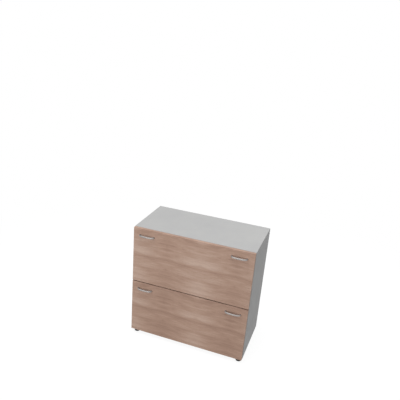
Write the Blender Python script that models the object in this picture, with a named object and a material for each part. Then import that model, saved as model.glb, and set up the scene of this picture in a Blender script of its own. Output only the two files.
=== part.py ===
"""Hanging file cabinet: a board carcass on four levelling feet, with two wide drawers.

Each drawer is a steel frame that holds two rows of suspension files side by side. It runs on a
pair of ball-bearing slides of three members, which let it come out over its full length.

Metres, +Z up, front towards -Y. The origin is on the floor, below the middle of the whole cabinet.
"""
import math

import bpy
import bmesh
from mathutils import Vector

# Carcass and fronts
BODY_WIDTH = 0.800
BODY_DEPTH = 0.420
BODY_HEIGHT = 0.780
BOARD = 0.018
FRONT_THICKNESS = 0.018
FRONT_EDGE_REVEAL = 0.001
FRONT_GAP = 0.006
FRONT_STANDOFF = 0.001
EDGE_RADIUS = 0.001
FRONT_EDGE_RADIUS = 0.0005
BACK_THICKNESS = 0.008
BACK_GROOVE_DEPTH = 0.006
BACK_INSET = 0.012
SEAT = 0.0003

# Glued dowels between the side panels and the top and bottom panels
DOWELS_IN_ROW = 4
DOWEL_FROM_EDGE = 0.045
DOWEL_RADIUS = 0.004
DOWEL_IN_PANEL = 0.011
BORE_CLEARANCE = 0.0003

# Levelling feet
FOOT_HEIGHT = 0.030
FOOT_FROM_SIDE = 0.029
FOOT_FROM_FRONT = 0.0215
FOOT_FROM_REAR = 0.029
PAD_RADIUS = 0.019
PAD_HEIGHT = 0.013
PAD_RECESS = 0.008
SOCKET_RADIUS = 0.015
SOCKET_HEIGHT = 0.0145
SOCKET_SPIGOT_RADIUS = 0.006
SOCKET_SPIGOT_HEIGHT = 0.012
STEM_RADIUS = 0.004
STEM_LENGTH = 0.040
STEM_CLEARANCE = 0.0003
FOOT_FACETS = 14

# Handles
HANDLE_HOLE_SPACING = 0.096
HANDLE_PROJECTION = 0.025
HANDLE_HEIGHT = 0.011
HANDLE_GRIP_THICKNESS = 0.0065
HANDLE_FOOT_LENGTH = 0.012
HANDLE_FROM_SIDE = 0.095
HANDLE_BELOW_TOP = 0.045
HANDLE_BOW = 3.2
HANDLE_ROUNDING = 0.7
HANDLE_SCREW_DEPTH = 0.005
HANDLE_SCREW_RADIUS = 0.002
HANDLE_SCREW_HEAD_RADIUS = 0.004
HANDLE_SCREW_HEAD_HEIGHT = 0.0024

# Ball-bearing slides, measured across from the side panel and up from the slide's middle
SLIDE_HEIGHT = 0.045
SLIDE_THICKNESS = 0.0127
SLIDE_SETBACK = 0.003
SLIDE_REAR_CLEARANCE = 0.028
SLIDE_SHEET = 0.0012
CAGE_SHEET = 0.0005
SLIDE_PLAY = 0.00035
BALL_RADIUS = 0.0017
BALL_PLAY = 0.0003
RACE_EDGE = 0.0009
OUTER_BALL_ACROSS = 0.0059
INNER_BALL_ACROSS = 0.0082
RACE_HALF_ANGLE = 36
BALLS_IN_ROW = 3
BALL_SPACING = 0.050
CAGE_MARGIN = 0.035
SLIDE_SCREW_ENDS = 0.037
SLIDE_SCREW_RADIUS = 0.0019
SLIDE_SCREW_LENGTH = 0.015
ACCESS_HOLE_RADIUS = 0.0055

# Suspension frames, whose ledges leave 330 mm for each row of files
FILE_RAIL_LEDGE = 0.0255
FILE_RAIL_HEIGHT = 0.285
FILE_RAIL_LIP = 0.014
CENTRE_RAIL_WIDTH = 0.024
SHEET = 0.0015
SLIDE_BELOW_RAIL = 0.045
FRAME_PLATE_DROP = 0.070
FRAME_REAR_CLEARANCE = 0.010
CROSS_RAIL_HEIGHT = 0.050
CROSS_RAIL_FLANGE = 0.014
BRACKET_FLANGE = 0.032
BRACKET_FROM_BOTTOM = 0.060
BRACKET_FOOT = 0.030
BRACKET_LENGTH = 0.150
BRACKET_REAR_HEIGHT = 0.035
FRAME_SCREW_RADIUS = 0.002
FRAME_SCREW_HEAD_RADIUS = 0.0038
FRAME_SCREW_HEAD_HEIGHT = 0.002
FRAME_SCREW_TIP = 0.0012
FRONT_SCREW_RADIUS = 0.0019
FRONT_SCREW_HEAD_RADIUS = 0.0038
FRONT_SCREW_HEAD_HEIGHT = 0.0022
FRONT_SCREW_IN_FRONT = 0.012

# Places that follow from the sizes
CARCASS_BOTTOM = FOOT_HEIGHT
CARCASS_TOP = CARCASS_BOTTOM + BODY_HEIGHT
FRONT_FACE = HANDLE_PROJECTION - (BODY_DEPTH + HANDLE_PROJECTION) / 2
FRONT_BACK = FRONT_FACE + FRONT_THICKNESS
CARCASS_FRONT = FRONT_BACK + FRONT_STANDOFF
CARCASS_REAR = FRONT_FACE + BODY_DEPTH
INNER_FACE = BODY_WIDTH / 2 - BOARD
SIDE_BOTTOM = CARCASS_BOTTOM + BOARD + SEAT
SIDE_TOP = CARCASS_TOP - BOARD - SEAT
BOARD_MIDDLE = BODY_WIDTH / 2 - BOARD / 2
FRONT_HEIGHT = (BODY_HEIGHT - 2 * FRONT_EDGE_REVEAL - FRONT_GAP) / 2
BACK_FACE = CARCASS_REAR - BACK_INSET - BACK_THICKNESS
SLIDE_FRONT = CARCASS_FRONT + SLIDE_SETBACK
SLIDE_REAR = BACK_FACE - SLIDE_REAR_CLEARANCE
SLIDE_LENGTH = SLIDE_REAR - SLIDE_FRONT
SLIDE_TRAVEL = SLIDE_LENGTH
CAGE_LENGTH = SLIDE_LENGTH - SLIDE_TRAVEL / 2 - CAGE_MARGIN
CAGE_START = SLIDE_FRONT + (SLIDE_LENGTH - CAGE_LENGTH) / 2
RACE_RADIUS = BALL_RADIUS + BALL_PLAY + SLIDE_SHEET / 2
PLATE_OUTER = INNER_FACE - SLIDE_THICKNESS - SEAT
PLATE_MIDDLE = PLATE_OUTER - SHEET / 2
PLATE_INNER = PLATE_OUTER - SHEET
FRAME_FRONT = FRONT_BACK + SEAT
FRAME_REAR = BACK_FACE - FRAME_REAR_CLEARANCE
LEVELS = ("lower", "upper")
SIDES = {"left": -1, "right": 1}


def finish(name, colour, roughness, metallic=0.0):
    """A plain material; the colour is linear red, green and blue."""
    material = bpy.data.materials.new(name)
    material.use_nodes = True
    shader = material.node_tree.nodes["Principled BSDF"]
    shader.inputs["Base Color"].default_value = (*colour, 1.0)
    shader.inputs["Roughness"].default_value = roughness
    shader.inputs["Metallic"].default_value = metallic
    return material


def block(low, high, edge=0.0):
    """A box between two corners, with rounded edges where an edge radius is given."""
    shape = bmesh.new()
    bmesh.ops.create_cube(shape, size=1.0)
    for vert in shape.verts:
        vert.co = [low[i] if vert.co[i] < 0 else high[i] for i in range(3)]
    if edge > 0:
        bmesh.ops.bevel(shape, geom=shape.edges, offset=edge, segments=2, profile=0.5, affect="EDGES")
    return shape


def extruded(outline, axis, start, end):
    """A closed outline carried straight along an axis.

    The outline's pairs are (y, z) along X, (x, z) along Y and (x, y) along Z.
    """
    place = {
        "X": lambda a, b, along: (along, a, b),
        "Y": lambda a, b, along: (a, along, b),
        "Z": lambda a, b, along: (a, b, along),
    }[axis]
    shape = bmesh.new()
    first = [shape.verts.new(place(a, b, start)) for a, b in outline]
    last = [shape.verts.new(place(a, b, end)) for a, b in outline]
    shape.faces.new(first)
    shape.faces.new(last)
    for i in range(len(outline)):
        before = i - 1
        shape.faces.new((first[before], first[i], last[i], last[before]))
    return shape


def turned(profile, axis, centre, steps, direction=1):
    """A profile of (radius, distance) pairs turned about an axis through the centre.

    A bored piece has a closed profile, whose last pair repeats its first.
    """
    along = Vector([direction if letter == axis else 0 for letter in "XYZ"])
    across = Vector((0, 0, 1)) if axis != "Z" else Vector((1, 0, 0))
    shape = bmesh.new()
    centre = Vector(centre)
    verts = [shape.verts.new(centre + along * distance + across * radius) for radius, distance in profile]
    edges = [shape.edges.new(pair) for pair in zip(verts, verts[1:])]
    bmesh.ops.spin(shape, geom=verts + edges, cent=centre, axis=along, angle=2 * math.pi,
                   steps=steps, use_merge=True)
    bmesh.ops.remove_doubles(shape, verts=shape.verts, dist=1e-6)
    return shape


def rod(radius, axis, centre, length, steps, direction=1):
    """A plain cylinder that starts at the centre and runs for its length."""
    return turned([(0, 0), (radius, 0), (radius, length), (0, length)], axis, centre, steps, direction)


def arc(centre, radius, start, end, steps):
    """Points on an arc, with its angles in degrees."""
    turns = [math.radians(start + (end - start) * i / steps) for i in range(steps + 1)]
    return [(centre[0] + radius * math.cos(turn), centre[1] + radius * math.sin(turn)) for turn in turns]


def rounded(before, corner, after, radius, steps=3):
    """Points that round the corner between two straight runs of sheet."""
    corner = Vector(corner)
    back = (Vector(before) - corner).normalized()
    ahead = (Vector(after) - corner).normalized()
    half = back.angle(ahead) / 2
    middle = corner + (back + ahead).normalized() * radius / math.sin(half)
    start = corner + back * radius / math.tan(half) - middle
    total = math.copysign(math.pi - 2 * half, -back.cross(ahead))
    points = []
    for i in range(steps + 1):
        turn = total * i / steps
        points.append((middle.x + start.x * math.cos(turn) - start.y * math.sin(turn),
                       middle.y + start.x * math.sin(turn) + start.y * math.cos(turn)))
    return points


def bent(path, thickness):
    """Outline of bent sheet whose middle follows the path."""
    points = [Vector(point) for point in path]
    runs = [(after - before).normalized() for before, after in zip(points, points[1:])]
    left, right = [], []
    for i, point in enumerate(points):
        first = runs[max(i - 1, 0)]
        second = runs[min(i, len(runs) - 1)]
        normal = (Vector((-first.y, first.x)) + Vector((-second.y, second.x))).normalized()
        reach = thickness / 2 / normal.dot(Vector((-first.y, first.x)))
        left.append(tuple(point + normal * reach))
        right.append(tuple(point - normal * reach))
    return left + right[::-1]


def mesh_of(shapes):
    """A mesh of shapes that don't meet, each facing outwards."""
    whole = bmesh.new()
    for shape in shapes:
        carrier = bpy.data.meshes.new("carrier")
        shape.to_mesh(carrier)
        shape.free()
        whole.from_mesh(carrier)
        bpy.data.meshes.remove(carrier)
    bmesh.ops.recalc_face_normals(whole, faces=whole.faces)
    mesh = bpy.data.meshes.new("solid")
    whole.to_mesh(mesh)
    whole.free()
    return mesh


def combine(item, shapes, operation):
    """Applies a Boolean with other shapes, which don't meet each other, to an object's mesh."""
    tool = bpy.data.objects.new("tool", mesh_of(shapes))
    bpy.context.collection.objects.link(tool)
    step = item.modifiers.new(operation.lower(), "BOOLEAN")
    step.operation = operation
    step.solver = "EXACT"
    step.object = tool
    result = item.evaluated_get(bpy.context.evaluated_depsgraph_get())
    mesh = bpy.data.meshes.new_from_object(result)
    item.modifiers.clear()
    old_mesh, tool_mesh = item.data, tool.data
    item.data = mesh
    bpy.data.objects.remove(tool)
    bpy.data.meshes.remove(tool_mesh)
    bpy.data.meshes.remove(old_mesh)


def part(name, material, shape, cuts=(), joins=(), fasteners=(), carrier=None):
    """Makes the object of one sub-part: a shape, less its cuts, united with what is fixed to it.

    A carrier is the empty that the sub-part moves with.
    """
    item = bpy.data.objects.new(name, mesh_of([shape]))
    bpy.context.collection.objects.link(item)
    for shapes, operation in ((cuts, "DIFFERENCE"), (joins, "UNION"), (fasteners, "UNION")):
        if shapes:
            combine(item, shapes, operation)
    item.data.name = name
    item.data.materials.clear()
    item.data.materials.append(material)
    item.data.shade_smooth()
    item.data.set_sharp_from_angle(angle=math.radians(35))
    if carrier:
        item.data.transform(carrier.matrix_world.inverted())
        item.parent = carrier
    return item


def joint_empty(name, place, parent=None):
    """An empty at a joint, which carries the pieces that move there."""
    empty = bpy.data.objects.new(name, None)
    empty.empty_display_size = 0.03
    bpy.context.collection.objects.link(empty)
    empty.parent = parent
    empty.location = Vector(place) - (parent.matrix_world.translation if parent else Vector())
    bpy.context.view_layer.update()
    return empty


for old in list(bpy.data.objects):
    bpy.data.objects.remove(old, do_unlink=True)

GREY_BOARD = finish("grey_board", (0.54, 0.54, 0.53), 0.45)
WOOD_FRONT = finish("wood_front", (0.41, 0.28, 0.21), 0.5)
SATIN_METAL = finish("satin_metal", (0.62, 0.61, 0.60), 0.32, 1.0)
ZINC_STEEL = finish("zinc_steel", (0.60, 0.61, 0.62), 0.35, 1.0)
GREY_STEEL = finish("grey_steel", (0.25, 0.26, 0.27), 0.45)
BRIGHT_STEEL = finish("bright_steel", (0.70, 0.70, 0.70), 0.12, 1.0)
BLACK_PLASTIC = finish("black_plastic", (0.02, 0.02, 0.02), 0.5)


def bore(radius, axis, centre, depth, steps=8, direction=1):
    """A cutter for a hole, which starts a little outside the surface."""
    return turned([(0, -BORE_CLEARANCE), (radius + BORE_CLEARANCE, -BORE_CLEARANCE),
                   (radius + BORE_CLEARANCE, depth + BORE_CLEARANCE), (0, depth + BORE_CLEARANCE)],
                  axis, centre, steps, direction)


def screw(radius, length, head_radius, head_height, axis, face, direction=1, sunk=SEAT):
    """A pan-head screw whose head lies on a face, with its shank through it.

    Its head starts a little inside the sheet that it holds, so that the two become one body.
    """
    profile = [(0, length), (radius, length), (radius, sunk), (head_radius, sunk),
               (head_radius, -head_height / 2), (head_radius / 2, -head_height), (0, -head_height)]
    return turned(profile, axis, face, 8, direction)


def front_bottom(level):
    """Height of a drawer front's lower edge."""
    return CARCASS_BOTTOM + FRONT_EDGE_REVEAL + LEVELS.index(level) * (FRONT_HEIGHT + FRONT_GAP)


def rail_top(level):
    """Height of the edges that the files hang on."""
    return front_bottom(level) + FILE_RAIL_HEIGHT


def slide_height(level):
    """Height of the middle of a drawer's slides."""
    return rail_top(level) - SLIDE_BELOW_RAIL


def ledge_middle(level):
    """Height of the middle of the sheet beside a file rail's lip."""
    return rail_top(level) - FILE_RAIL_LIP - SHEET / 2


def cross_rail_top(level):
    """Height of the cross rails' upper faces, on which the file rails lie."""
    return ledge_middle(level) - SHEET / 2 - SEAT


def slide_screw_places():
    """Distances to the front at which a slide is screwed on."""
    return (SLIDE_FRONT + SLIDE_SCREW_ENDS, SLIDE_REAR - SLIDE_SCREW_ENDS)


def dowel_places():
    """Distances to the front of the dowels in a row."""
    first = CARCASS_FRONT + DOWEL_FROM_EDGE
    last = CARCASS_REAR - DOWEL_FROM_EDGE
    return [first + (last - first) * i / (DOWELS_IN_ROW - 1) for i in range(DOWELS_IN_ROW)]


def back_groove(low, high):
    """A cutter for the back panel's groove, between two corners given across and up."""
    front = BACK_FACE - BORE_CLEARANCE
    rear = CARCASS_REAR - BACK_INSET + BORE_CLEARANCE
    return block((low[0], front, low[1]), (high[0], rear, high[1]))


def foot_places():
    """Name, x and y of each levelling foot."""
    for row, y in (("front", CARCASS_FRONT + FOOT_FROM_FRONT), ("rear", CARCASS_REAR - FOOT_FROM_REAR)):
        for hand, side in SIDES.items():
            yield row + "_" + hand, side * (BODY_WIDTH / 2 - FOOT_FROM_SIDE), y


def build_carcass():
    """The five boards: dowels stand out of the side panels' ends, and the back is in grooves."""
    half = BODY_WIDTH / 2
    groove = INNER_FACE + BACK_GROOVE_DEPTH
    top_inside = CARCASS_TOP - BOARD
    bottom_inside = CARCASS_BOTTOM + BOARD
    bores = {1: [], -1: []}
    for out, face in ((1, top_inside), (-1, bottom_inside)):
        for side in SIDES.values():
            bores[out] += [bore(DOWEL_RADIUS, "Z", (side * BOARD_MIDDLE, y, face), DOWEL_IN_PANEL,
                                direction=out) for y in dowel_places()]
    bores[1].append(back_groove((-groove, top_inside - BOARD), (groove, top_inside + BACK_GROOVE_DEPTH)))
    bores[-1].append(back_groove((-groove, bottom_inside - BACK_GROOVE_DEPTH),
                                 (groove, bottom_inside + BOARD)))
    bores[-1] += [bore(SOCKET_SPIGOT_RADIUS, "Z", (x, y, CARCASS_BOTTOM), BOARD, 12)
                  for name, x, y in foot_places()]
    part("top_panel", GREY_BOARD,
         block((-half, CARCASS_FRONT, top_inside), (half, CARCASS_REAR, CARCASS_TOP), EDGE_RADIUS),
         cuts=bores[1])
    part("bottom_panel", GREY_BOARD,
         block((-half, CARCASS_FRONT, CARCASS_BOTTOM), (half, CARCASS_REAR, bottom_inside), EDGE_RADIUS),
         cuts=bores[-1])
    for hand, side in SIDES.items():
        near, far = sorted((side * INNER_FACE, side * half))
        inside, outside = sorted((side * (INNER_FACE - BACK_GROOVE_DEPTH), side * groove))
        cuts = [back_groove((inside, CARCASS_BOTTOM), (outside, CARCASS_TOP))]
        cuts += [bore(SLIDE_SCREW_RADIUS, "X", (side * INNER_FACE, y, slide_height(level)),
                      SLIDE_SCREW_LENGTH, direction=side)
                 for level in LEVELS for y in slide_screw_places()]
        dowels = []
        for end, out in ((SIDE_TOP, 1), (SIDE_BOTTOM, -1)):
            dowels += [rod(DOWEL_RADIUS, "Z", (side * BOARD_MIDDLE, y, end - out * DOWEL_IN_PANEL),
                           2 * DOWEL_IN_PANEL, 8, out) for y in dowel_places()]
        part(hand + "_side_panel", GREY_BOARD,
             block((near, CARCASS_FRONT, SIDE_BOTTOM), (far, CARCASS_REAR, SIDE_TOP), EDGE_RADIUS),
             cuts=cuts, fasteners=dowels)
    edge = groove - SEAT
    part("back_panel", GREY_BOARD,
         block((-edge, BACK_FACE, bottom_inside - BACK_GROOVE_DEPTH + SEAT),
               (edge, BACK_FACE + BACK_THICKNESS, top_inside + BACK_GROOVE_DEPTH - SEAT)))


def build_feet():
    """For each foot a pressed-in socket, a pad and a threaded stem that the pad turns on."""
    socket_bottom = CARCASS_BOTTOM - SEAT - SOCKET_HEIGHT
    hole = STEM_RADIUS + STEM_CLEARANCE
    socket = [(hole, 0), (SOCKET_RADIUS - EDGE_RADIUS, 0), (SOCKET_RADIUS, EDGE_RADIUS),
              (SOCKET_RADIUS, SOCKET_HEIGHT), (SOCKET_SPIGOT_RADIUS, SOCKET_HEIGHT),
              (SOCKET_SPIGOT_RADIUS, SOCKET_HEIGHT + SOCKET_SPIGOT_HEIGHT),
              (hole, SOCKET_HEIGHT + SOCKET_SPIGOT_HEIGHT), (hole, 0)]
    pad = [(0, 0), (PAD_RADIUS - EDGE_RADIUS, 0), (PAD_RADIUS, EDGE_RADIUS),
           (PAD_RADIUS, PAD_HEIGHT - 2 * EDGE_RADIUS), (PAD_RADIUS - 2 * EDGE_RADIUS, PAD_HEIGHT),
           (hole, PAD_HEIGHT), (hole, PAD_HEIGHT - PAD_RECESS), (0, PAD_HEIGHT - PAD_RECESS)]
    stem_start = PAD_HEIGHT - PAD_RECESS + SEAT
    for name, x, y in foot_places():
        pad_joint = joint_empty(name + "_foot", (x, y, 0))
        stem_joint = joint_empty(name + "_foot_screw", (x, y, stem_start), pad_joint)
        part(name + "_foot_socket", BLACK_PLASTIC, turned(socket, "Z", (x, y, socket_bottom), FOOT_FACETS))
        part(name + "_foot_pad", BLACK_PLASTIC, turned(pad, "Z", (x, y, 0), FOOT_FACETS), carrier=pad_joint)
        part(name + "_foot_stem", ZINC_STEEL, rod(STEM_RADIUS, "Z", (x, y, stem_start), STEM_LENGTH, 12),
             carrier=stem_joint)


def slide_sections():
    """Outlines of a slide's members and cages, across from the side panel and up from its middle."""
    level = SLIDE_HEIGHT / 2 - SLIDE_SHEET / 2
    reach = RACE_RADIUS * math.sin(math.radians(RACE_HALF_ANGLE))
    sink = RACE_RADIUS * math.cos(math.radians(RACE_HALF_ANGLE))
    dip = (270 - RACE_HALF_ANGLE, 270 + RACE_HALF_ANGLE)

    outer_web = SEAT + SLIDE_SHEET / 2
    outer_ball = (OUTER_BALL_ACROSS, level - RACE_RADIUS)
    outer = rounded((outer_web, 0), (outer_web, level), (outer_ball[0], level), SLIDE_SHEET)
    outer += arc(outer_ball, RACE_RADIUS, 90, 0, 4)

    middle_web = outer_web + SLIDE_SHEET + 2 * SLIDE_PLAY + CAGE_SHEET
    shoulder = outer_ball[1] - sink
    beside = INNER_BALL_ACROSS - outer_ball[0] - reach
    inner_ball = (INNER_BALL_ACROSS, shoulder - math.sqrt(RACE_RADIUS ** 2 - beside ** 2))
    start = math.degrees(math.acos(-beside / RACE_RADIUS))
    middle = rounded((middle_web, 0), (middle_web, shoulder), (outer_ball[0] - reach, shoulder), RACE_EDGE)
    middle += arc(outer_ball, RACE_RADIUS, *dip, 3) + arc(inner_ball, RACE_RADIUS, start, 0, 5)[1:]

    inner_web = SLIDE_THICKNESS - SLIDE_SHEET / 2
    ledge = inner_ball[1] - sink
    inner = rounded((inner_web, 0), (inner_web, ledge), (inner_ball[0] + reach, ledge), RACE_EDGE)
    inner += arc(inner_ball, RACE_RADIUS, dip[1], dip[0], 3) + [(inner_ball[0] - reach - RACE_EDGE, ledge)]

    gap = (SLIDE_SHEET + CAGE_SHEET) / 2 + SLIDE_PLAY
    outer_strip = inner_ball[1] + RACE_RADIUS + gap
    inner_strip = ledge + gap
    outer_cage = [(outer_web + gap, outer_strip), (outer_ball[0] + BALL_RADIUS + RACE_EDGE, outer_strip)]
    inner_cage = [(middle_web + gap, inner_strip), (inner_ball[0] + BALL_RADIUS + RACE_EDGE, inner_strip)]

    def both_halves(upper, thickness):
        return bent([(across, -up) for across, up in reversed(upper)] + upper, thickness)

    outlines = {
        "outer_slide": both_halves(outer, SLIDE_SHEET),
        "middle_slide": both_halves(middle, SLIDE_SHEET),
        "inner_slide": both_halves(inner, SLIDE_SHEET),
        "outer_cage": both_halves(outer_cage, CAGE_SHEET),
        "inner_cage": both_halves(inner_cage, CAGE_SHEET),
    }
    return outlines, {"outer": outer_ball, "inner": inner_ball}


def ball(place):
    """One bearing ball."""
    shape = bmesh.new()
    bmesh.ops.create_uvsphere(shape, u_segments=6, v_segments=4, radius=BALL_RADIUS)
    bmesh.ops.translate(shape, verts=shape.verts, vec=place)
    return shape


def build_slide(level, hand, joints):
    """One ball-bearing slide: three members, and two cages that hold the balls in their races."""
    side = SIDES[hand]
    height = slide_height(level)
    outlines, ball_places = slide_sections()
    name = level + "_" + hand + "_"

    def drawn(kind, start, length):
        outline = [(side * (INNER_FACE - across), height + up) for across, up in outlines[kind]]
        return extruded(outline, "Y", start, start + length)

    def holes(radius, steps=8):
        return [bore(radius, "X", (side * INNER_FACE, y, height), SLIDE_THICKNESS, steps, -side)
                for y in slide_screw_places()]

    screws = [rod(SLIDE_SCREW_RADIUS, "X", (side * (INNER_FACE - SEAT - SLIDE_SHEET / 2), y, height),
                  SLIDE_SCREW_LENGTH, 8, side) for y in slide_screw_places()]
    part(name + "outer_slide", ZINC_STEEL, drawn("outer_slide", SLIDE_FRONT, SLIDE_LENGTH), joins=screws)
    part(name + "middle_slide", ZINC_STEEL, drawn("middle_slide", SLIDE_FRONT, SLIDE_LENGTH),
         cuts=holes(ACCESS_HOLE_RADIUS, 12), carrier=joints["middle"])
    part(name + "inner_slide", ZINC_STEEL, drawn("inner_slide", SLIDE_FRONT, SLIDE_LENGTH),
         cuts=holes(FRAME_SCREW_RADIUS), carrier=joints["drawer"])
    first_ball = CAGE_START + (CAGE_LENGTH - (BALLS_IN_ROW - 1) * BALL_SPACING) / 2
    for stage, (across, up) in ball_places.items():
        balls = [ball((side * (INNER_FACE - across), first_ball + i * BALL_SPACING, height + row * up))
                 for i in range(BALLS_IN_ROW) for row in (1, -1)]
        part(name + stage + "_cage", BRIGHT_STEEL, drawn(stage + "_cage", CAGE_START, CAGE_LENGTH),
             joins=balls, carrier=joints[stage])


def front_screw_heights(level):
    """Heights of the screws that hold a drawer front to a bracket."""
    low = front_bottom(level) + BRACKET_FROM_BOTTOM + BRACKET_FLANGE / 2
    high = cross_rail_top(level) - CROSS_RAIL_HEIGHT - BRACKET_FLANGE / 2
    return (low, (low + high) / 2, high)


def build_brackets(level, joint):
    """Steel brackets that carry the drawer front, with the screws that are tightened in them."""
    ledge = ledge_middle(level)
    bottom = front_bottom(level) + BRACKET_FROM_BOTTOM
    top = cross_rail_top(level)
    rear = FRAME_FRONT + BRACKET_LENGTH
    weld = SEAT / 2
    web = [(FRAME_FRONT + weld, top), (FRAME_FRONT + weld, bottom), (FRAME_FRONT + BRACKET_FOOT, bottom),
           (rear, top - BRACKET_REAR_HEIGHT), (rear, top)]
    outer = PLATE_INNER - SEAT
    inner = outer - SHEET
    for hand, side in SIDES.items():
        across = sorted((side * (outer - BRACKET_FLANGE), side * (outer - weld)))
        flange = block((across[0], FRAME_FRONT, bottom + weld), (across[1], FRAME_FRONT + SHEET, top - weld))
        fasteners = [screw(FRONT_SCREW_RADIUS, SHEET + SEAT + FRONT_SCREW_IN_FRONT, FRONT_SCREW_HEAD_RADIUS,
                           FRONT_SCREW_HEAD_HEIGHT, "Y",
                           (side * (outer - BRACKET_FLANGE / 2), FRAME_FRONT + SHEET, height), -1)
                     for height in front_screw_heights(level)]
        place = (side * inner, slide_screw_places()[0], slide_height(level))
        fasteners.append(screw(FRAME_SCREW_RADIUS, 2 * (SHEET + SEAT) + SLIDE_SHEET + FRAME_SCREW_TIP,
                               FRAME_SCREW_HEAD_RADIUS, FRAME_SCREW_HEAD_HEIGHT, "X", place, side))
        near, far = sorted((side * inner, side * outer))
        part(level + "_" + hand + "_front_bracket", GREY_STEEL, extruded(web, "X", near, far),
             joins=[flange], fasteners=fasteners, carrier=joint)


def build_frame(level, joint):
    """The suspension frame: side rails, a centre rail and two cross rails."""
    top = rail_top(level)
    ledge = ledge_middle(level)
    bottom = top - FRAME_PLATE_DROP
    lip = PLATE_MIDDLE - FILE_RAIL_LEDGE
    front_hole, rear_screw = slide_screw_places()
    for hand, side in SIDES.items():
        root, corner, bend = (PLATE_MIDDLE, bottom), (PLATE_MIDDLE, ledge), (lip, ledge)
        path = [root] + rounded(root, corner, bend, SHEET) + rounded(corner, bend, (lip, top), SHEET)
        path.append((lip, top))
        hole = bore(FRAME_SCREW_RADIUS, "X", (side * PLATE_INNER, front_hole, slide_height(level)), SHEET,
                    direction=side)
        fixed = screw(FRAME_SCREW_RADIUS, SHEET + SEAT + SLIDE_SHEET + FRAME_SCREW_TIP,
                      FRAME_SCREW_HEAD_RADIUS, FRAME_SCREW_HEAD_HEIGHT, "X",
                      (side * PLATE_INNER, rear_screw, slide_height(level)), side)
        part(level + "_" + hand + "_file_rail", GREY_STEEL,
             extruded([(side * x, z) for x, z in bent(path, SHEET)], "Y", FRAME_FRONT, FRAME_REAR),
             cuts=[hole], fasteners=[fixed], carrier=joint)

    centre = CENTRE_RAIL_WIDTH / 2 - SHEET / 2
    left, right = (-centre, ledge), (centre, ledge)
    path = [(-centre, top)] + rounded((-centre, top), left, right, SHEET)
    path += rounded(left, right, (centre, top), SHEET) + [(centre, top)]
    part(level + "_centre_file_rail", GREY_STEEL,
         extruded(bent(path, SHEET), "Y", FRAME_FRONT, FRAME_REAR), carrier=joint)

    high = cross_rail_top(level) - SHEET / 2
    low = cross_rail_top(level) - CROSS_RAIL_HEIGHT + SHEET / 2
    front_web = FRAME_FRONT + SHEET + SEAT + SHEET / 2
    rear_web = FRAME_REAR - SHEET / 2
    for name, web, inwards, end in (("front", front_web, 1, PLATE_INNER - 2 * SEAT - SHEET),
                                    ("rear", rear_web, -1, PLATE_INNER - SEAT)):
        edge = web + inwards * CROSS_RAIL_FLANGE
        path = [(edge, high)] + rounded((edge, high), (web, high), (web, low), SHEET)
        path += rounded((web, high), (web, low), (edge, low), SHEET) + [(edge, low)]
        part(level + "_" + name + "_cross_rail", GREY_STEEL, extruded(bent(path, SHEET), "X", -end, end),
             carrier=joint)


def handle_shape(x, height):
    """A bow handle: rounded sections along a bow that leaves the front and comes back to it."""
    sections = 14
    points = 8
    bow = 2 / HANDLE_BOW
    reach = HANDLE_PROJECTION - SEAT - HANDLE_GRIP_THICKNESS / 2
    middle = []
    for i in range(sections + 1):
        turn = math.pi * i / sections
        cosine = math.cos(turn)
        middle.append(Vector((-math.copysign(abs(cosine) ** bow, cosine) * HANDLE_HOLE_SPACING / 2,
                              -abs(math.sin(turn)) ** bow * reach)))
    shape = bmesh.new()
    rings = []
    for i, place in enumerate(middle):
        ahead = middle[min(i + 1, sections)] - middle[max(i - 1, 0)]
        if i in (0, sections):
            ahead = Vector((0, 1 if i else -1))
        across = Vector((-ahead.y, ahead.x)).normalized()
        near_foot = abs(2 * i / sections - 1) ** 3
        thickness = HANDLE_GRIP_THICKNESS + (HANDLE_FOOT_LENGTH - HANDLE_GRIP_THICKNESS) * near_foot
        ring = []
        for j in range(points):
            turn = 2 * math.pi * j / points
            wide, high = (math.copysign(abs(value) ** HANDLE_ROUNDING, value)
                          for value in (math.cos(turn), math.sin(turn)))
            flat = place + across * wide * thickness / 2
            ring.append(shape.verts.new((x + flat.x, FRONT_FACE - SEAT + flat.y,
                                         height + high * HANDLE_HEIGHT / 2)))
        rings.append(ring)
    shape.faces.new(rings[0])
    shape.faces.new(rings[-1])
    for first, second in zip(rings, rings[1:]):
        for j in range(points):
            shape.faces.new((first[j - 1], first[j], second[j], second[j - 1]))
    return shape


def build_front(level, joint):
    """A drawer front with its two handles, whose screws are tightened from behind."""
    half = BODY_WIDTH / 2 - FRONT_EDGE_REVEAL
    bottom = front_bottom(level)
    height = bottom + FRONT_HEIGHT - HANDLE_BELOW_TOP
    bores = []
    for hand, side in SIDES.items():
        x = side * (BODY_WIDTH / 2 - HANDLE_FROM_SIDE)
        ends = (x - HANDLE_HOLE_SPACING / 2, x + HANDLE_HOLE_SPACING / 2)
        bores += [bore(HANDLE_SCREW_RADIUS, "Y", (end, FRONT_BACK, height), FRONT_THICKNESS, direction=-1)
                  for end in ends]
        screws = [screw(HANDLE_SCREW_RADIUS, FRONT_THICKNESS + 2 * SEAT + HANDLE_SCREW_DEPTH,
                        HANDLE_SCREW_HEAD_RADIUS, HANDLE_SCREW_HEAD_HEIGHT, "Y",
                        (end, FRONT_BACK + SEAT, height), -1, sunk=0) for end in ends]
        part(level + "_" + hand + "_handle", SATIN_METAL, handle_shape(x, height), fasteners=screws,
             carrier=joint)
    outer = PLATE_INNER - SEAT
    bores += [bore(FRONT_SCREW_RADIUS, "Y", (side * (outer - BRACKET_FLANGE / 2), FRONT_BACK, screw_height),
                   FRONT_SCREW_IN_FRONT, direction=-1)
              for side in SIDES.values() for screw_height in front_screw_heights(level)]
    part(level + "_drawer_front", WOOD_FRONT,
         block((-half, FRONT_FACE, bottom), (half, FRONT_BACK, bottom + FRONT_HEIGHT), FRONT_EDGE_RADIUS),
         cuts=bores, carrier=joint)


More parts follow.
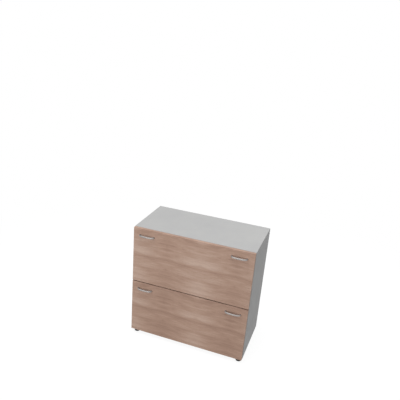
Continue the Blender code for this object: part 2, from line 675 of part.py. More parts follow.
def build_drawer(level):
    """One drawer with its slides; the empties carry what moves together."""
    height = slide_height(level)
    drawer = joint_empty(level + "_drawer", (0, FRONT_FACE, height))
    stages = {
        "middle": joint_empty(level + "_middle_slides", (0, SLIDE_FRONT, height)),
        "outer": joint_empty(level + "_outer_cages", (0, CAGE_START, height)),
        "inner": joint_empty(level + "_inner_cages", (0, CAGE_START, height)),
        "drawer": drawer,
    }
    build_front(level, drawer)
    build_brackets(level, drawer)
    build_frame(level, drawer)
    for hand in SIDES:
        build_slide(level, hand, stages)


build_carcass()
build_feet()
for drawer_level in LEVELS:
    build_drawer(drawer_level)
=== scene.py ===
"""Hanging file cabinet with two wide drawers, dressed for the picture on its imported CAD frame."""
import math

import bmesh
import bpy
import numpy as np
from mathutils import Matrix, Vector


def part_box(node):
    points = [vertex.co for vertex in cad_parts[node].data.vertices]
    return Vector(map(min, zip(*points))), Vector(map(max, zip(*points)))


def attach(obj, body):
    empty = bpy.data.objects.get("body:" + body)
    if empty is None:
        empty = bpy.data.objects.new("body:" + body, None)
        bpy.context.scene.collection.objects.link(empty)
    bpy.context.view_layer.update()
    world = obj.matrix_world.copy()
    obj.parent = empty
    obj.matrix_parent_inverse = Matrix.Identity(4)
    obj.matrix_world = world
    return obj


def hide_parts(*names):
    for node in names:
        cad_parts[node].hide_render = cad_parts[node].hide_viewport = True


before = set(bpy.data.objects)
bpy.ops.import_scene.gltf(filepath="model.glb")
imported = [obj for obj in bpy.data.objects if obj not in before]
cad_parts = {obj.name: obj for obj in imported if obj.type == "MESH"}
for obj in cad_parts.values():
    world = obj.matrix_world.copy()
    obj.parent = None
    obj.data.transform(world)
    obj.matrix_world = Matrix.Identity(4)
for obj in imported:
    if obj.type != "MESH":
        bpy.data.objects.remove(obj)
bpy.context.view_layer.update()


# The camera: a plain 36 mm format seen from above and to the right of the front, a little
# tilted and shifted, as the photograph was taken.
azimuth, elevation, roll = (math.radians(angle) for angle in (19.605, 22.423, 3.998))
back = Vector((math.sin(azimuth) * math.cos(elevation), -math.cos(azimuth) * math.cos(elevation),
               math.sin(elevation)))
level_right = (-back).cross(Vector((0, 0, 1))).normalized()
level_up = level_right.cross(-back)
right = level_right * math.cos(roll) + level_up * math.sin(roll)
up = level_up * math.cos(roll) - level_right * math.sin(roll)
lens = bpy.data.cameras.new("camera")
lens.sensor_width = 36
lens.lens = 42.475
lens.shift_x = 0.0400
lens.shift_y = 0.0358
camera = bpy.data.objects.new("camera", lens)
camera.matrix_world = Matrix((right, up, back)).transposed().to_4x4()
camera.location = (0.8204, -2.6866, 2.0564)
bpy.context.collection.objects.link(camera)
bpy.context.scene.camera = camera
bpy.context.scene.view_settings.view_transform = "Standard"


# The studio: a floor and a white surround, with a large soft lamp overhead, one low in front and
# one low behind. The floor and the surround look white to the camera and in reflections, and away
# from the object the floor's own glow takes over, so that no horizon shows.
def colour(code):
    """Linear red, green, blue and alpha of an sRGB hex colour: the usual sRGB curve, undone."""
    parts = np.array([int(code[i:i + 2], 16) / 255 for i in (1, 3, 5)])
    linear = np.where(parts <= 0.04045, parts / 12.92, ((parts + 0.055) / 1.055) ** 2.4)
    return (*linear, 1.0)


def add(tree, kind, inputs={}, **settings):
    """Adds a node. Settings are its own properties, and inputs maps each of its sockets to a value,
    or to a (node, output) pair that is linked to it."""
    node = tree.nodes.new("ShaderNode" + kind)
    for name, value in settings.items():
        setattr(node, name, value)
    for socket, value in inputs.items():
        if isinstance(value, tuple) and isinstance(value[0], bpy.types.Node):
            tree.links.new(value[0].outputs[value[1]], node.inputs[socket])
        else:
            node.inputs[socket].default_value = value
    return node


def seen_or_mirrored(tree):
    """1 for rays from the camera and for reflected and refracted ones, which show the backdrop."""
    rays = add(tree, "LightPath")
    either = add(tree, "Math", {0: (rays, "Is Camera Ray"), 1: (rays, "Is Glossy Ray")},
                 operation="MAXIMUM")
    return add(tree, "Math", {0: (either, 0), 1: (rays, "Is Transmission Ray")}, operation="MAXIMUM")


world = bpy.data.worlds.new("studio")
bpy.context.scene.world = world
world.use_nodes = True
surround = world.node_tree
surround.nodes.clear()
soft_light = add(surround, "Background", {"Color": (0.55, 0.55, 0.55, 1)})
white_wall = add(surround, "Background", {"Color": (1, 1, 1, 1)})
shown = seen_or_mirrored(surround)
either_light = add(surround, "MixShader", {0: (shown, 0), 1: (soft_light, 0), 2: (white_wall, 0)})
add(surround, "OutputWorld", {"Surface": (either_light, 0)})

floor_mesh = bpy.data.meshes.new("floor")
reach = 30.0
floor_mesh.from_pydata([(-reach, -reach, 0), (reach, -reach, 0), (reach, reach, 0), (-reach, reach, 0)],
                       [], [(0, 1, 2, 3)])
floor = bpy.data.objects.new("floor", floor_mesh)
bpy.context.collection.objects.link(floor)
floor_paint = bpy.data.materials.new("floor_paint")
floor_paint.use_nodes = True
tree = floor_paint.node_tree
tree.nodes.clear()
matt = add(tree, "BsdfDiffuse", {"Color": (0.13, 0.13, 0.13, 1)})
faint = add(tree, "BsdfDiffuse", {"Color": (0.13, 0.13, 0.13, 1)})
glow = add(tree, "Emission", {"Color": (1, 1, 1, 1), "Strength": 0.92})
near_floor = add(tree, "AddShader", {0: (faint, 0), 1: (glow, 0)})
far_floor = add(tree, "Emission", {"Color": (1, 1, 1, 1), "Strength": 1.0})
spot = add(tree, "NewGeometry")
distance = add(tree, "VectorMath", {0: (spot, "Position")}, operation="LENGTH")
away = add(tree, "MapRange", {"Value": (distance, "Value"), 1: 1.0, 2: 2.6},
           interpolation_type="SMOOTHSTEP")
lit = add(tree, "MixShader", {0: (away, 0), 1: (near_floor, 0), 2: (far_floor, 0)})
shown = seen_or_mirrored(tree)
either_floor = add(tree, "MixShader", {0: (shown, 0), 1: (matt, 0), 2: (lit, 0)})
add(tree, "OutputMaterial", {"Surface": (either_floor, 0)})
floor_mesh.materials.append(floor_paint)

aim = Vector((0, 0, 0.45))
for name, size, energy, place in (("overhead", 2.6, 105, (-0.60, -1.10, 5.40)),
                                  ("frontal", 3.0, 67, (-0.75, -4.60, 1.15)),
                                  ("rear", 3.0, 48, (0.70, 4.60, 1.60))):
    lamp = bpy.data.lights.new(name, "AREA")
    lamp.shape = "DISK"
    lamp.size = size
    lamp.energy = energy
    lamp_object = bpy.data.objects.new(name, lamp)
    lamp_object.location = place
    lamp_object.rotation_mode = "QUATERNION"
    lamp_object.rotation_quaternion = (lamp_object.location - aim).to_track_quat("Z", "Y")
    bpy.context.collection.objects.link(lamp_object)


# The boards: 18 mm particle board faced with light grey melamine, pressed with a very fine
# pearl, and banded on its cut edges with smoother plastic of the same grey. The thin back
# panel, slid into grooves, is fibreboard with a printed paper face.
def new_material(name):
    """An empty material, and the object's own coordinates, which are the row frame's."""
    material = bpy.data.materials.new(name)
    material.use_nodes = True
    material.node_tree.nodes.clear()
    return material, material.node_tree, add(material.node_tree, "TexCoord")


def refinish(names, material):
    """Gives CAD nodes a material in place of their plain one."""
    for name in names:
        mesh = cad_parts[name].data
        mesh.materials.clear()
        mesh.materials.append(material)


def melamine(name, pale, deep, band, thickness_axis):
    """The face has a soft mottle 150 mm wide and a pearl of 0.8 mm, drawn twice as coarse as the
    real one so that it shows, and a face that looks along the board is a band, without pearl."""
    material, tree, place = new_material(name)
    mottle = add(tree, "TexNoise", {"Vector": (place, "Object"), "Scale": 6.5, "Detail": 5.0,
                                    "Roughness": 0.6})
    tone = add(tree, "MapRange", {"Value": (mottle, "Fac"), 1: 0.35, 2: 0.65})
    face_colour = add(tree, "Mix", {0: (tone, 0), 6: colour(deep), 7: colour(pale)}, data_type="RGBA")
    facing = add(tree, "SeparateXYZ", {0: (place, "Normal")})
    flatness = add(tree, "Math", {0: (facing, thickness_axis)}, operation="ABSOLUTE")
    on_face = add(tree, "MapRange", {"Value": (flatness, 0), 1: 0.55, 2: 0.85})
    board_colour = add(tree, "Mix", {0: (on_face, 0), 6: colour(band), 7: (face_colour, 2)},
                       data_type="RGBA")
    pearl = add(tree, "TexNoise", {"Vector": (place, "Object"), "Scale": 620.0, "Detail": 1.5})
    depth = add(tree, "Math", {0: (on_face, 0), 1: 0.22}, operation="MULTIPLY")
    relief = add(tree, "Bump", {"Height": (pearl, "Fac"), "Strength": (depth, 0), "Distance": 0.0003})
    handled = add(tree, "TexNoise", {"Vector": (place, "Object"), "Scale": 17.0, "Detail": 3.0})
    sheen = add(tree, "MapRange", {"Value": (handled, "Fac"), 1: 0.3, 2: 0.7, 3: 0.56, 4: 0.64})
    surface = add(tree, "BsdfPrincipled", {"Base Color": (board_colour, 2), "Roughness": (sheen, 0),
                                           "IOR": 1.48, "Normal": (relief, 0)})
    add(tree, "OutputMaterial", {"Surface": (surface, 0)})
    return material


for names, kind, thickness_axis in ((("left_side_panel", "right_side_panel"), "upright", "X"),
                                    (("top_panel", "bottom_panel"), "level", "Z")):
    refinish(names, melamine("grey_melamine_" + kind, "#b6b6b5", "#b2b2b2", "#b3b3b2", thickness_axis))
refinish(("back_panel",), melamine("grey_back_paper", "#afafad", "#a9a9a8", "#a09380", "Y"))


# The drawer fronts: the same board faced with a printed wood pattern, a pinkish light walnut
# whose grain runs across the cabinet, the same on both fronts. All four edges are banded with a
# strip of the same print, cut along its grain and a little deeper.
def printed_walnut(name, rise, tone_and_painted_shade):
    """The print is book-matched: from the seam on, each leaf mirrors the one before. Grain is noise
    stretched along the board, over a height that a slow wave lifts and that the square of the
    distance to the seam lowers, so that its lines bow and close like a sawn board's. Four sizes are
    mixed: clouds 100 mm high, bands of 25 mm, fibres of 2.7 mm and pores of 0.8 mm. A leaf is paler
    at the seam, and long soft figures are paler or deeper. Rise is how far the front lies above the
    upper one. The last argument makes all of the print paler or deeper: partly the print's own tone,
    partly painted shading, as the lower front gets a deeper print for the dimmer light on it."""
    seam, leaf_width = 0.065, 0.230
    material, tree, place = new_material(name)
    facing = add(tree, "SeparateXYZ", {0: (place, "Normal")})
    sideways = add(tree, "Math", {0: (facing, "X")}, operation="ABSOLUTE")
    end_band = add(tree, "Math", {0: (sideways, 0), 1: 0.7}, operation="GREATER_THAN")
    spot = add(tree, "SeparateXYZ", {0: (place, "Object")})
    from_seam = add(tree, "Math", {0: (spot, "X"), 1: seam}, operation="SUBTRACT")
    leaf = add(tree, "Math", {0: (from_seam, 0), 1: leaf_width}, operation="PINGPONG")
    mirrored = add(tree, "CombineXYZ", {"X": (leaf, 0), "Y": (spot, "Y"), "Z": (spot, "Z")})
    upright = add(tree, "CombineXYZ", {"X": (spot, "Z"), "Y": (spot, "Y"), "Z": (spot, "X")})
    along = add(tree, "Mix", {0: (end_band, 0), 4: (mirrored, 0), 5: (upright, 0)}, data_type="VECTOR")
    board = add(tree, "Mapping", {"Vector": (along, 1), "Location": (0.0, 0.0, -rise)})

    slow = add(tree, "Mapping", {"Vector": (board, 0), "Scale": (1.8, 3.0, 5.0)})
    wave = add(tree, "TexNoise", {"Vector": (slow, 0), "Scale": 1.0, "Detail": 2.0, "Roughness": 0.45})
    lift = add(tree, "MapRange", {"Value": (wave, "Fac"), 3: -0.012, 4: 0.012})
    sag = add(tree, "Math", {0: (leaf, 0), 1: (leaf, 0)}, operation="MULTIPLY")
    lift = add(tree, "Math", {0: (sag, 0), 1: -0.18, 2: (lift, 0)}, operation="MULTIPLY_ADD")
    lifted = add(tree, "CombineXYZ", {"Z": (lift, 0)})
    bowed = add(tree, "VectorMath", {0: (board, 0), 1: (lifted, 0)}, operation="ADD")

    def layer(long, high, detail, roughness):
        stretched = add(tree, "Mapping", {"Vector": (bowed, 0), "Location": (13.0, 0.0, 31.0),
                                          "Scale": (1 / long, 1 / high, 1 / high)})
        return add(tree, "TexNoise", {"Vector": (stretched, 0), "Scale": 1.0, "Detail": detail,
                                      "Roughness": roughness})

    clouds = layer(0.40, 0.100, 2.0, 0.5)
    bands = layer(0.19, 0.025, 3.0, 0.55)
    fibres = layer(0.055, 0.0027, 2.0, 0.5)
    pores = layer(0.022, 0.0008, 1.0, 0.5)
    mixed = add(tree, "Mix", {0: 0.52, 2: (clouds, "Fac"), 3: (bands, "Fac")})
    mixed = add(tree, "Mix", {0: 0.24, 2: (mixed, 0), 3: (fibres, "Fac")})
    # The last argument shifts this: the print's own tone, and on the lower front painted shading.
    paler = add(tree, "MapRange", {"Value": (leaf, 0), 2: leaf_width, 3: tone_and_painted_shade + 0.034, 4: tone_and_painted_shade - 0.034},
                interpolation_type="SMOOTHSTEP")
    mixed = add(tree, "Math", {0: (mixed, 0), 1: (paler, 0)}, operation="ADD")
    flatness = add(tree, "Math", {0: (facing, "Y")}, operation="ABSOLUTE")
    banding = add(tree, "MapRange", {"Value": (flatness, 0), 1: 0.3, 2: 0.7, 3: -0.05, 4: 0.0})
    mixed = add(tree, "Math", {0: (mixed, 0), 1: (banding, 0)}, operation="ADD")
    # For each figure its distance from the seam, its height on the upper front, the reach of its
    # length and of its height, and how much paler it is.
    figures = ((0.0, 0.662, 0.22, 0.026, 0.10),
               (leaf_width, 0.613, 0.60, 0.036, -0.08),
               (0.0, 0.723, 0.13, 0.030, 0.03),
               (0.0, 0.503, 0.13, 0.030, 0.04),
               (0.0, 0.448, 0.20, 0.020, 0.04),
               (leaf_width, 0.475, 0.20, 0.050, -0.02),
               (0.115, 0.730, 0.035, 0.010, -0.07),
               (0.115, 0.512, 0.035, 0.010, -0.07))
    for across, up, long, high, strength in figures:
        figure = add(tree, "Mapping", {"Vector": (bowed, 0), "Location": (-across / long, 0.0, -up / high),
                                       "Scale": (1 / long, 0.0, 1 / high)})
        figure = add(tree, "TexGradient", {"Vector": (figure, 0)}, gradient_type="SPHERICAL")
        figure = add(tree, "MapRange", {"Value": (figure, "Fac"), 4: strength},
                     interpolation_type="SMOOTHSTEP")
        mixed = add(tree, "Math", {0: (mixed, 0), 1: (figure, 0)}, operation="ADD")
    tone = add(tree, "ValToRGB", {0: (mixed, 0)})
    ramp = tone.color_ramp
    ramp.elements[0].position = 0.34
    ramp.elements[0].color = colour("#a1806f")
    ramp.elements[1].position = 0.66
    ramp.elements[1].color = colour("#d5b9a8")
    middle = ramp.elements.new(0.50)
    middle.color = colour("#be9d8a")
    fleck = add(tree, "MapRange", {"Value": (pores, "Fac"), 1: 0.60, 2: 0.74, 3: 0.0, 4: 0.45})
    print_colour = add(tree, "Mix", {0: (fleck, 0), 6: (tone, 0), 7: colour("#8f6b5a")}, data_type="RGBA")

    relief = add(tree, "Bump", {"Height": (fibres, "Fac"), "Strength": 0.10, "Distance": 0.0003})
    sheen = add(tree, "MapRange", {"Value": (bands, "Fac"), 1: 0.3, 2: 0.7, 3: 0.52, 4: 0.60})
    surface = add(tree, "BsdfPrincipled", {"Base Color": (print_colour, 2), "Roughness": (sheen, 0),
                                           "IOR": 1.48, "Normal": (relief, 0)})
    add(tree, "OutputMaterial", {"Surface": (surface, 0)})
    return material


front_pitch = 0.392
# The lower front's print is set deeper than the upper's: painted shading, for the dimmer light on the lower
# front.
refinish(("upper_drawer_front",), printed_walnut("printed_walnut_upper", 0.0, 0.029))
refinish(("lower_drawer_front",), printed_walnut("printed_walnut_lower_painted_shade", -front_pitch, -0.008))


# The handles: bows of die-cast zinc alloy with a satin nickel plating, each held by two screws
# from behind the front.
def grid_faces(rows, columns, start=0):
    """Quads of a grid whose columns close into rings, as indices of its points row by row."""
    row = np.arange(rows - 1)[:, None] * columns
    here = np.arange(columns)[None, :]
    beside = (here + 1) % columns
    quads = np.stack((row + here, row + beside, row + columns + beside, row + columns + here), axis=-1)
    return (start + quads.reshape(-1, 4)).tolist()


def make_piece(name, points, faces, material, body, sharp=40):
    """A piece from its points and faces: points that meet are merged, its faces turned outwards."""
    shape = bmesh.new()
    mesh = bpy.data.meshes.new(name)
    mesh.from_pydata(np.asarray(points).reshape(-1, 3).tolist(), [], faces)
    shape.from_mesh(mesh)
    bmesh.ops.remove_doubles(shape, verts=shape.verts, dist=1e-6)
    bmesh.ops.recalc_face_normals(shape, faces=shape.faces)
    shape.to_mesh(mesh)
    shape.free()
    mesh.shade_smooth()
    mesh.set_sharp_from_angle(angle=math.radians(sharp))
    mesh.materials.append(material)
    piece = bpy.data.objects.new(name, mesh)
    bpy.context.collection.objects.link(piece)
    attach(piece, body)
    return piece


def signed_power(values, power):
    """Each value's size raised to a power, with its sign kept."""
    return np.sign(values) * np.abs(values) ** power


def bow_handle(node, body, material):
    """Surface S(u, v). In plan the middle follows a superellipse, x^3.2 + y^3.2 = 1, from foot to
    foot as u goes over half a turn. Round it v draws a section of 11 mm by 6.5 mm, squarer than an
    ellipse, which widens with the cube of the distance to the middle to 12 mm at the feet."""
    low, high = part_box(node)
    height, grip, foot, hole_spacing, seat = 0.011, 0.0065, 0.012, 0.096, 0.0003
    bow, squareness = 2 / 3.2, 0.7
    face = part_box(body + "_front")[0].y - seat
    middle = (low + high) / 2
    bend = face - low.y - grip / 2
    rows, columns = 121, 40
    u = np.linspace(0, math.pi, rows)
    v = np.linspace(0, 2 * math.pi, columns, endpoint=False)
    path = np.stack((-signed_power(np.cos(u), bow) * hole_spacing / 2,
                     -np.abs(np.sin(u)) ** bow * bend), axis=1)
    ahead = np.gradient(path, axis=0)
    ahead[0], ahead[-1] = (0, -1), (0, 1)
    across = np.stack((-ahead[:, 1], ahead[:, 0]), axis=1)
    across /= np.linalg.norm(across, axis=1)[:, None]
    thick = grip + (foot - grip) * np.abs(np.linspace(-1, 1, rows)) ** 3
    wide = signed_power(np.cos(v), squareness)[None, :] * thick[:, None] / 2
    points = np.empty((rows, columns, 3))
    points[..., 0] = middle.x + path[:, None, 0] + across[:, None, 0] * wide
    points[..., 1] = face + path[:, None, 1] + across[:, None, 1] * wide
    points[..., 2] = middle.z + signed_power(np.sin(v), squareness)[None, :] * height / 2
    ends = [list(range(columns)), list(range((rows - 1) * columns, rows * columns))]
    faces = grid_faces(rows, columns) + ends
    piece = make_piece("satin_" + node, points, faces, material, body)
    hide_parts(node)


def plated(name, pale, deep, roughness, lines, relief_strength):
    """Plated metal. The fine lines that rolling or brushing leaves are noise stretched along them,
    with so many features per metre on X, Y and Z, and sway its roughness and height. A slow cloud
    sways its colour from deep to pale."""
    material, tree, place = new_material(name)
    drawn = add(tree, "Mapping", {"Vector": (place, "Object"), "Scale": lines})
    brushing = add(tree, "TexNoise", {"Vector": (drawn, 0), "Scale": 1.0, "Detail": 3.0, "Roughness": 0.6})
    cloud = add(tree, "TexNoise", {"Vector": (place, "Object"), "Scale": 28.0, "Detail": 3.0})
    tone = add(tree, "MapRange", {"Value": (cloud, "Fac"), 1: 0.3, 2: 0.7})
    metal_colour = add(tree, "Mix", {0: (tone, 0), 6: colour(deep), 7: colour(pale)}, data_type="RGBA")
    sheen = add(tree, "MapRange", {"Value": (brushing, "Fac"), 1: 0.3, 2: 0.7,
                                   3: roughness - 0.06, 4: roughness + 0.06})
    relief = add(tree, "Bump", {"Height": (brushing, "Fac"), "Strength": relief_strength,
                                "Distance": 0.0002})
    surface = add(tree, "BsdfPrincipled", {"Base Color": (metal_colour, 2), "Metallic": 1.0,
                                           "Roughness": (sheen, 0), "Normal": (relief, 0)})
    add(tree, "OutputMaterial", {"Surface": (surface, 0)})
    return material


satin_nickel = plated("satin_nickel", "#a5a09e", "#9c9795", 0.54, (60.0, 900.0, 900.0), 0.04)
levels = ("lower", "upper")
sides = {"left": -1, "right": 1}
for level in levels:
    for hand in sides:
        bow_handle(level + "_" + hand + "_handle", level + "_drawer", satin_nickel)


# The screws: zinc-plated pan heads with a cross recess. In each drawer four hold the handles and
# six the brackets to the front, and four hold the frame to the slides. Each stands over the plain
# head of its CAD screw.
def pan_heads(name, places, normals, radius, height, material, body):
    """Height over each round head: a rim, and an elliptic dome on it, less a cross whose arms are
    1 mm wide and grow deeper to the middle. A flat underside closes it, and its up direction is
    turned to the normal given for it."""
    rows, columns = 17, 48
    half_arm, slope, arm_share, depth_share, rim_share = 0.0005, 0.0002, 0.6, 0.24, 0.45
    r = np.linspace(1, 0, rows)[:, None] ** 0.8
    angle = np.linspace(0, 2 * math.pi, columns, endpoint=False)[None, :]
    x, y = r * radius * np.cos(angle), r * radius * np.sin(angle)
    near, far = np.minimum(np.abs(x), np.abs(y)), np.maximum(np.abs(x), np.abs(y))
    recess = np.clip((half_arm - near) / slope, 0, 1) * np.clip(1 - far / (arm_share * radius), 0, 1) ** 0.5
    up = height * (rim_share + (1 - rim_share) * np.sqrt(1 - r ** 2) - depth_share * recess)
    x, y, up = np.vstack((x[:1], x)), np.vstack((y[:1], y)), np.vstack((0 * up[:1], up))
    points, faces = [], []
    for place, normal in zip(places, normals):
        along, beside = np.array((0.0, 0.0, 1.0)), np.cross(normal, (0.0, 0.0, 1.0))
        start = len(points) * up.size
        points.append(np.asarray(place) + x[..., None] * along + y[..., None] * beside
                      + up[..., None] * np.asarray(normal, float))
        faces += grid_faces(rows + 1, columns, start) + [list(range(start, start + columns))]
    return make_piece(name, np.concatenate(points), faces, material, body)


turned_zinc = plated("zinc_plated_screw", "#c6c9cb", "#b2b5b9", 0.28, (90.0, 90.0, 90.0), 0.05)
head_radius, head_height, seat, sheet = 0.0041, 0.0032, 0.0003, 0.0015
handle_hole, bracket_hole, slide_hole_from_end = 0.048, 0.3512, 0.037
bracket_web, rail_plate = 0.3657, 0.3675
lowest_hole_up, highest_hole_down = 0.076, 0.066
for level in levels:
    front_low, front_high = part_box(level + "_drawer_front")
    rail_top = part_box(level + "_front_cross_rail")[1].z
    low_screw, high_screw = front_low.z + lowest_hole_up, rail_top - highest_hole_down
    slide_low, slide_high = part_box(level + "_right_inner_slide")
    slide_height = (slide_low.z + slide_high.z) / 2
    backwards, inwards = [], []
    for hand, side in sides.items():
        handle = sum(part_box(level + "_" + hand + "_handle"), Vector()) / 2
        backwards += [(handle.x + end * handle_hole, front_high.y + seat, handle.z) for end in (-1, 1)]
        backwards += [(side * bracket_hole, front_high.y + seat + sheet, z)
                      for z in (low_screw, (low_screw + high_screw) / 2, high_screw)]
        inwards += [(side * bracket_web, slide_low.y + slide_hole_from_end, slide_height),
                    (side * rail_plate, slide_high.y - slide_hole_from_end, slide_height)]
    normals = [(0, 1, 0)] * len(backwards) + [(-np.sign(place[0]), 0, 0) for place in inwards]
    pan_heads(level + "_drawer_screw_heads", backwards + inwards, normals, head_radius, head_height,
              turned_zinc, level + "_drawer")


# The slides: three members each of cold-rolled steel, zinc-plated, whose rolling lines run along
# them, and strip cages that hold hardened steel balls in the races between them.
rolled_zinc = plated("zinc_plated_slide", "#c3c6c8", "#aeb2b6", 0.30, (700.0, 14.0, 700.0), 0.10)
bright_strip = plated("bright_steel_strip", "#b9bcbd", "#a6a9ab", 0.24, (700.0, 14.0, 700.0), 0.06)
polished_ball = plated("polished_ball_steel", "#cdd0d1", "#c3c6c8", 0.16, (300.0, 300.0, 300.0), 0.02)
refinish([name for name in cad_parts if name.endswith("_slide")], rolled_zinc)
refinish([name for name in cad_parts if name.endswith("_cage")], bright_strip)


def balls(name, centres, radius, material, body):
    """Spheres about their centres: sines and cosines of latitude and longitude times the radius."""
    rows, columns = 9, 16
    latitude = np.linspace(-math.pi / 2, math.pi / 2, rows)[:, None]
    longitude = np.linspace(0, 2 * math.pi, columns, endpoint=False)[None, :]
    sphere = radius * np.stack((np.cos(latitude) * np.cos(longitude), np.cos(latitude) * np.sin(longitude),
                                np.sin(latitude) * np.ones_like(longitude)), axis=-1)
    points = np.asarray(centres)[:, None, None, :] + sphere
    faces = []
    for i in range(len(centres)):
        faces += grid_faces(rows, columns, i * rows * columns)
    return make_piece(name, points, faces, material, body)


ball_radius, cad_ball_radius, balls_in_row, half_row = 0.00175, 0.0017, 9, 0.050
panel_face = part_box("left_side_panel")[1].x
for level in levels:
    for hand, side in sides.items():
        for stage, across in (("outer", 0.0059), ("inner", 0.0082)):
            low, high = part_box(level + "_" + hand + "_" + stage + "_cage")
            middle = (low + high) / 2
            race = (high.z - low.z) / 2 - cad_ball_radius
            centres = [(side * (-panel_face - across), y, middle.z + up * race) for up in (-1, 1)
                       for y in np.linspace(middle.y - half_row, middle.y + half_row, balls_in_row)]
            balls(level + "_" + hand + "_" + stage + "_balls", centres, ball_radius, polished_ball,
                  level + "_" + stage + "_cages")


# The suspension frames and brackets: 1.5 mm steel sheet, bent and spot-welded, with a grey powder
# coat baked on it. The coat is smooth with a slight orange peel.
powder, tree, place = new_material("grey_powder_coat")
peel = add(tree, "TexNoise", {"Vector": (place, "Object"), "Scale": 450.0, "Detail": 1.0})
patch = add(tree, "TexNoise", {"Vector": (place, "Object"), "Scale": 12.0, "Detail": 4.0, "Roughness": 0.6})
tone = add(tree, "MapRange", {"Value": (patch, "Fac"), 1: 0.3, 2: 0.7})
coat_colour = add(tree, "Mix", {0: (tone, 0), 6: colour("#8b8d8f"), 7: colour("#949698")}, data_type="RGBA")
relief = add(tree, "Bump", {"Height": (peel, "Fac"), "Strength": 0.16, "Distance": 0.0003})
sheen = add(tree, "MapRange", {"Value": (patch, "Fac"), 1: 0.3, 2: 0.7, 3: 0.38, 4: 0.46})
surface = add(tree, "BsdfPrincipled", {"Base Color": (coat_colour, 2), "Roughness": (sheen, 0),
                                       "Normal": (relief, 0)})
add(tree, "OutputMaterial", {"Surface": (surface, 0)})
refinish([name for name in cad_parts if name.endswith(("_rail", "_bracket"))], powder)


# The stops: round pads of clear grey vinyl, stuck on the front edges of the side panels, on which
# the drawer fronts come to rest without a sound.
vinyl, tree, place = new_material("soft_vinyl")
cast = add(tree, "TexNoise", {"Vector": (place, "Object"), "Scale": 900.0, "Detail": 1.0})
relief = add(tree, "Bump", {"Height": (cast, "Fac"), "Strength": 0.08, "Distance": 0.0002})
surface = add(tree, "BsdfPrincipled", {"Base Color": colour("#b3b3b0"), "Roughness": 0.33,
                                       "IOR": 1.53, "Normal": (relief, 0)})
add(tree, "OutputMaterial", {"Surface": (surface, 0)})


def round_pads(name, places, radius, thickness, material, body):
    """Each pad is a dome seen from the front: it is as thick as the fourth root of one minus the
    fourth power of the distance to its middle."""
    rows, columns = 10, 40
    r = np.sin(np.linspace(math.pi / 2, 0, rows))[:, None]
    angle = np.linspace(0, 2 * math.pi, columns, endpoint=False)[None, :]
    dome = np.stack((r * radius * np.cos(angle), -thickness * (1 - r ** 4) ** 0.25 * np.ones_like(angle),
                     r * radius * np.sin(angle)), axis=-1)
    points = np.asarray(places)[:, None, None, :] + dome
    faces = []
    for i in range(len(places)):
        start = i * rows * columns
        faces += grid_faces(rows, columns, start) + [list(range(start, start + columns))]
    return make_piece(name, points, faces, material, body)


side_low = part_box("right_side_panel")[0]
edge_middle, from_corner, pad_radius, pad_thickness = 0.391, 0.035, 0.004, 0.0008
pad_places = []
for level in levels:
    front_low, front_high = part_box(level + "_drawer_front")
    pad_places += [(side * edge_middle, side_low.y, z) for side in sides.values()
                   for z in (front_low.z + from_corner, front_high.z - from_corner)]
round_pads("soft_stops", pad_places, pad_radius, pad_thickness, vinyl, "cabinet")


# The feet: a fluted glide and a pressed-in socket of black polyamide, moulded with a fine spark
# texture, on a zinc-plated M8 stem. The glide turns on the end of the stem.
def ring_profile(corners, steps=5):
    """A closed outline through corners of radius and height, each rounded by its own radius with a
    short arc: points of a quadratic curve from one side of the corner to the other."""
    outline = []
    for i, (r, z, rounding) in enumerate(corners):
        corner = np.array((r, z))
        before = np.array(corners[i - 1][:2]) - corner
        after = np.array(corners[(i + 1) % len(corners)][:2]) - corner
        start = corner + before / np.linalg.norm(before) * rounding
        end = corner + after / np.linalg.norm(after) * rounding
        for t in np.linspace(0, 1, steps) if rounding else (0.5,):
            outline.append((1 - t) ** 2 * start + 2 * t * (1 - t) * corner + t ** 2 * end)
    outline.append(outline[0])
    return np.array(outline)


def lathe(name, outline, centre, flutes, depth, material, body):
    """The outline of radius and height is carried round a vertical axis. Where its radius is the
    largest, flutes cut into it: their depth follows the fourth power of a cosine."""
    columns, rim_band = 120, 0.0004
    angle = np.linspace(0, 2 * math.pi, columns, endpoint=False)[None, :]
    inside_rim = outline[:, 0].max() - rim_band
    at_rim = np.clip((outline[:, 0] - inside_rim) / rim_band, 0, 1)[:, None]
    r = outline[:, :1] - depth * at_rim * np.cos(flutes * angle / 2) ** 4
    points = np.stack((centre.x + r * np.cos(angle), centre.y + r * np.sin(angle),
                       centre.z + outline[:, 1:] * np.ones_like(angle)), axis=-1)
    return make_piece(name, points, grid_faces(len(outline), columns), material, body)


def threaded_stem(name, centre, length, material, body):
    """Radius over height and angle: it falls from 4.0 mm at the crests to 3.4 mm at the roots and
    back once in each 1.25 mm of height less the angle's share of a turn, a right-hand M8 thread.
    Both ends are cut down to a point."""
    rows, columns = 225, 24
    pitch, root, depth, flat, end_radius = 0.00125, 0.0034, 0.0006, 0.1, 0.0030
    height = np.linspace(0, length, rows)[:, None]
    angle = np.linspace(0, 2 * math.pi, columns, endpoint=False)[None, :]
    turns = height / pitch - angle / (2 * math.pi)
    ridge = np.abs(2 * (turns % 1) - 1)
    r = root + depth * np.clip((ridge - flat) / (1 - 2 * flat), 0, 1)
    chamfer = np.minimum(height, length - height)
    r = np.minimum(r, end_radius + chamfer)
    points = np.stack((centre.x + r * np.cos(angle), centre.y + r * np.sin(angle),
                       centre.z + height * np.ones_like(angle)), axis=-1)
    ends = [list(range(columns)), list(range((rows - 1) * columns, rows * columns))]
    return make_piece(name, points, grid_faces(rows, columns) + ends, material, body, sharp=25)


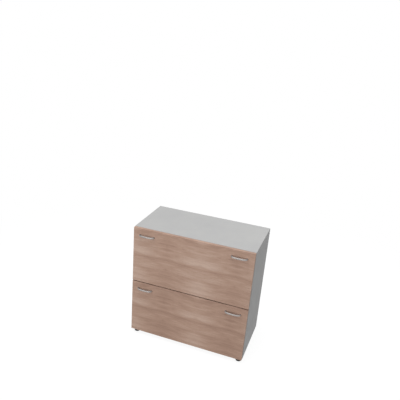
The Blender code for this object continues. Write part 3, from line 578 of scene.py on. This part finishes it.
polyamide, tree, place = new_material("black_polyamide")
spark = add(tree, "TexNoise", {"Vector": (place, "Object"), "Scale": 1600.0, "Detail": 1.0})
spot = add(tree, "SeparateXYZ", {0: (place, "Object")})
near_floor = add(tree, "MapRange", {"Value": (spot, "Z"), 1: 0.0, 2: 0.008, 3: 1.0, 4: 0.0})
dust = add(tree, "TexNoise", {"Vector": (place, "Object"), "Scale": 260.0, "Detail": 3.0})
dusty = add(tree, "Math", {0: (near_floor, 0), 1: (dust, "Fac")}, operation="MULTIPLY")
worn = add(tree, "MapRange", {"Value": (dusty, 0), 1: 0.25, 2: 0.6, 3: 0.0, 4: 0.5})
plastic_colour = add(tree, "Mix", {0: (worn, 0), 6: colour("#232324"), 7: colour("#5b5957")},
                     data_type="RGBA")
relief = add(tree, "Bump", {"Height": (spark, "Fac"), "Strength": 0.2, "Distance": 0.0002})
sheen = add(tree, "MapRange", {"Value": (dusty, 0), 1: 0.1, 2: 0.6, 3: 0.42, 4: 0.6})
surface = add(tree, "BsdfPrincipled", {"Base Color": (plastic_colour, 2), "Roughness": (sheen, 0),
                                       "IOR": 1.53, "Normal": (relief, 0)})
add(tree, "OutputMaterial", {"Surface": (surface, 0)})

hole = 0.0043
glide_outline = ring_profile([(0.0, 0.0, 0), (0.0190, 0.0, 0.0012), (0.0190, 0.0130, 0.0018),
                              (hole, 0.0130, 0.0004), (hole, 0.0050, 0), (0.0, 0.0050, 0)])
socket_outline = ring_profile([(hole, 0.0, 0.0004), (0.0150, 0.0, 0.0010), (0.0150, 0.0145, 0.0003),
                               (0.0060, 0.0145, 0), (0.0060, 0.0265, 0), (hole, 0.0265, 0)])
glide_flutes, socket_flutes, stem_length = 24, 12, 0.040
for row in ("front", "rear"):
    for hand in sides:
        foot = row + "_" + hand + "_foot"
        centres = {}
        for part in ("pad", "socket", "stem"):
            low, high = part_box(foot + "_" + part)
            centres[part] = Vector(((low.x + high.x) / 2, (low.y + high.y) / 2, low.z))
        glide = lathe(foot + "_glide", glide_outline, centres["pad"], glide_flutes, 0.0006, polyamide,
                      foot)
        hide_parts(foot + "_pad")
        socket = lathe(foot + "_moulded_socket", socket_outline, centres["socket"], socket_flutes, 0.0003,
                       polyamide, "cabinet")
        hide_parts(foot + "_socket")
        stem = threaded_stem(foot + "_threaded_stem", centres["stem"], stem_length, turned_zinc,
                             foot + "_screw")
        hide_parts(foot + "_stem")
